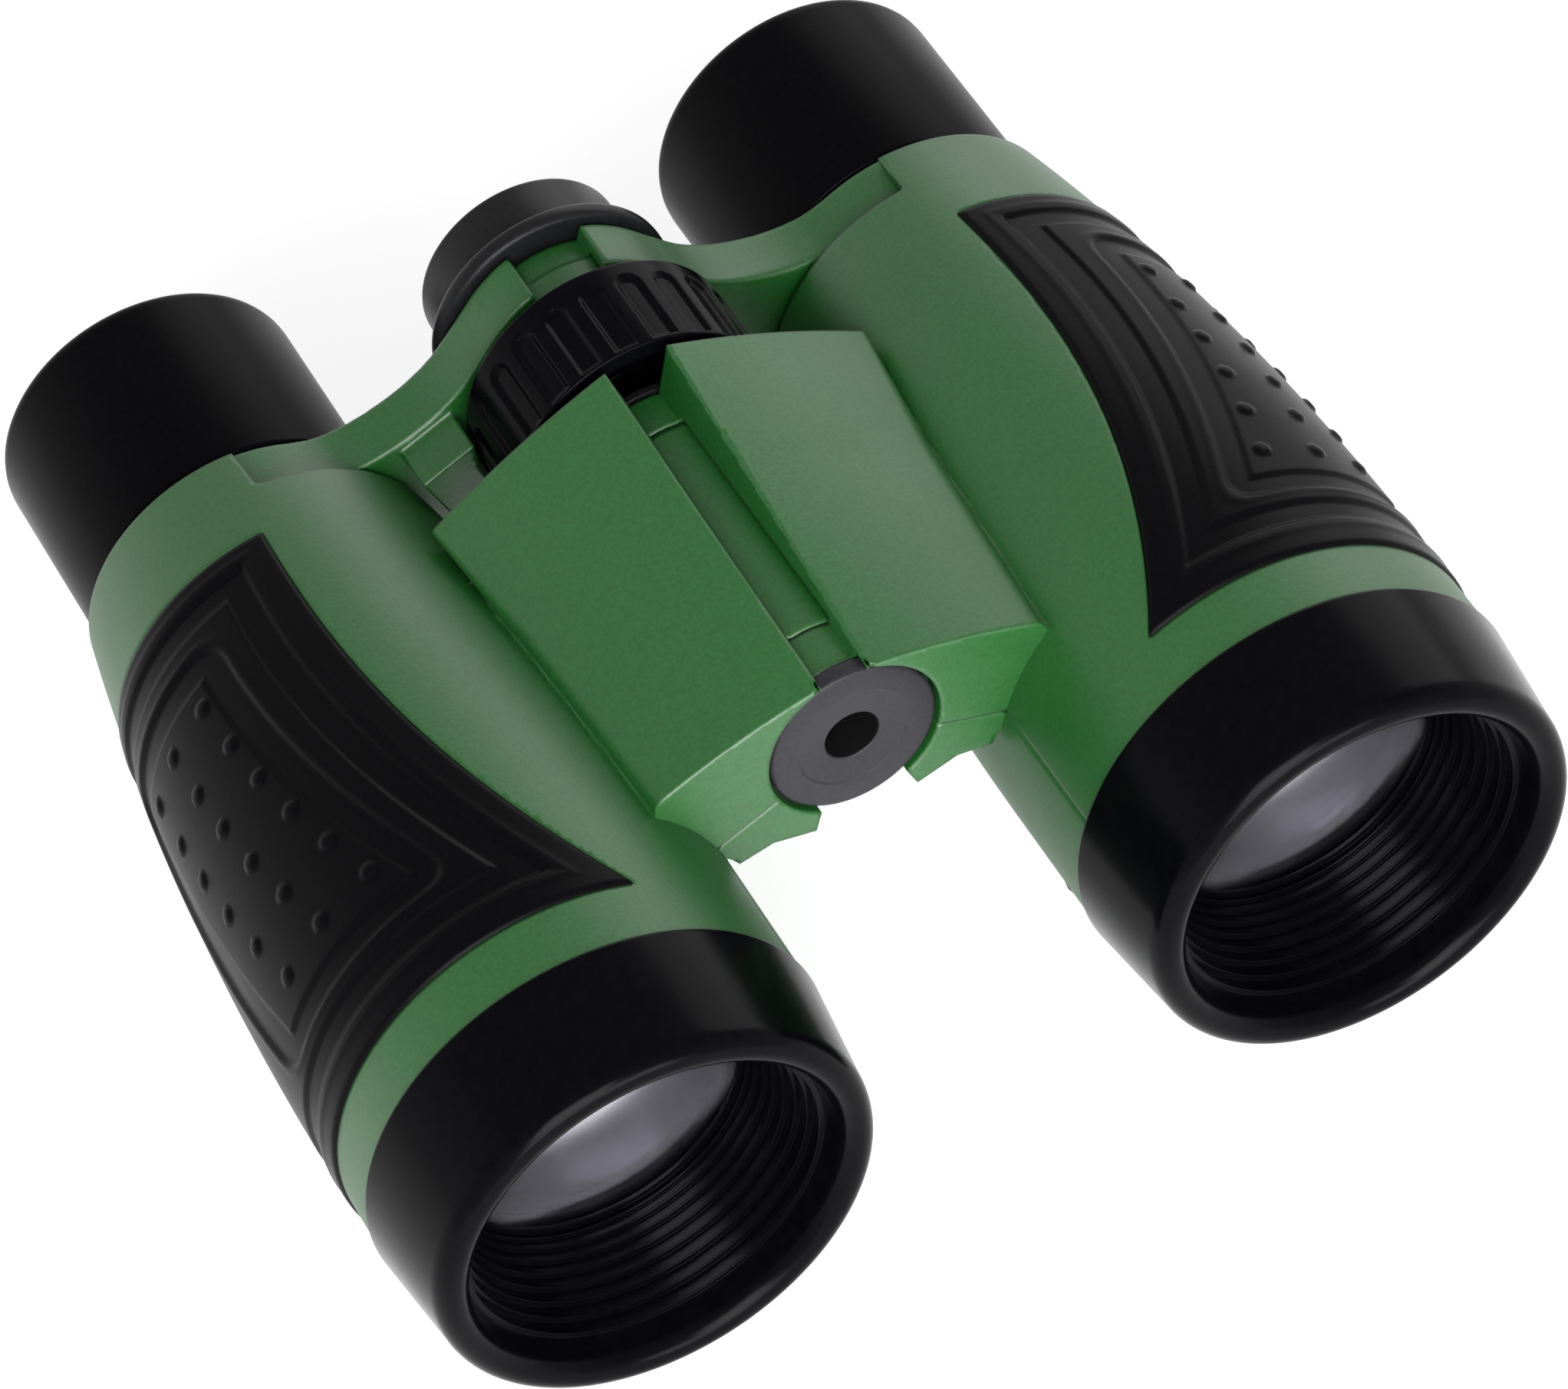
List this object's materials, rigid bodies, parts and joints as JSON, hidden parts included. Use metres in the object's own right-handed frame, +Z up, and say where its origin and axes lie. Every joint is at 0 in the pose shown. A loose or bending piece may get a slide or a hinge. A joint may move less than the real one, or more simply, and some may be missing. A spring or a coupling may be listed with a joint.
{
  "type": "folding hand-held binoculars",
  "caption": "Small folding binoculars with stepped hoods, rubber grips, a ribbed centre focus wheel, sliding eyepiece bridge and a button compass.",
  "frame": {"origin": "under the middle of the pair's box, on the ground plane that the barrels lie on", "axes": "+Z up, +Y along the optical axes towards the objective lenses, +X to the user's right"},
  "size_m": [0.1102, 0.1072, 0.0473],
  "materials": {
    "green_plastic": "satin moulded, fine spark texture",
    "gloss_black": "glossy moulded black",
    "satin_black": "satin moulded black",
    "cap_grey": "matte dark grey, turned marks",
    "grip_rubber": "soft-touch black rubber",
    "eyecup_rubber": "smooth satin black",
    "lens_glass": "clear polished",
    "clear_cover": "clear polished",
    "steel": "zinc plated",
    "brass": "turned",
    "dial_white": "printed card",
    "needle_red": "painted"
  },
  "bodies": {
    "left_barrel": {"left_upper_shell": "green_plastic", "left_lower_shell": "green_plastic", "left_grip_pad": "grip_rubber", "left_objective_hood": "gloss_black", "left_objective_lens": "lens_glass", "left_objective_retainer": "satin_black", "left_shell_screw_front": "steel", "left_shell_screw_rear": "steel", "front_cap": "cap_grey", "hinge_sleeve": "brass", "hinge_washer": "satin_black"},
    "right_barrel": {"right_upper_shell": "green_plastic", "right_lower_shell": "green_plastic", "right_grip_pad": "grip_rubber", "right_objective_hood": "gloss_black", "right_objective_lens": "lens_glass", "right_objective_retainer": "satin_black", "right_shell_screw_front": "steel", "right_shell_screw_rear": "steel"},
    "eyepiece_bridge": {"left_eyepiece_arm": "green_plastic", "left_eyepiece_tube": "satin_black", "left_eyecup": "eyecup_rubber", "left_eyepiece_lens": "lens_glass", "left_eyepiece_retainer": "satin_black", "left_arm_screw": "steel", "compass_housing": "satin_black", "compass_dial": "dial_white", "compass_pivot": "brass", "compass_cover": "clear_cover"},
    "right_ocular": {"right_eyepiece_arm": "green_plastic", "right_eyepiece_tube": "satin_black", "right_eyecup": "eyecup_rubber", "right_eyepiece_lens": "lens_glass", "right_eyepiece_retainer": "satin_black", "right_arm_screw": "steel"},
    "focus_drive": {"focus_wheel": "gloss_black", "focus_screw": "steel", "screw_clip": "steel"},
    "needle": {"compass_needle": "needle_red"}
  },
  "joints": [
    {"name": "hinge_fold", "type": "hinge", "parent": "left_barrel", "child": "right_barrel", "pos_m": [0, 0, 0.03441], "axis": [0, 1, 0], "range_deg": [-20, 44]},
    {"name": "focus_slide", "type": "slide", "parent": "left_barrel", "child": "eyepiece_bridge", "axis": [0, -1, 0], "range_m": [-0.00062, 0.00662]},
    {"name": "focus_turn", "type": "hinge", "parent": "eyepiece_bridge", "child": "focus_drive", "pos_m": [0, -0.01792, 0.03441], "axis": [0, -1, 0], "range_deg": [-28, 298]},
    {"name": "right_focus_slide", "type": "slide", "parent": "right_barrel", "child": "right_ocular", "axis": [0, -1, 0], "range_m": [-0.00062, 0.00662]},
    {"name": "compass_needle_spin", "type": "hinge", "parent": "eyepiece_bridge", "child": "needle", "pos_m": [0, -0.03712, 0.03441], "axis": [0, -1, 0], "continuous": true}
  ],
  "couplings": [
    {"joint": "focus_turn", "follows": "focus_slide", "rad_per_m": 785.4},
    {"joint": "right_focus_slide", "follows": "focus_slide", "ratio": 1}
  ]
}
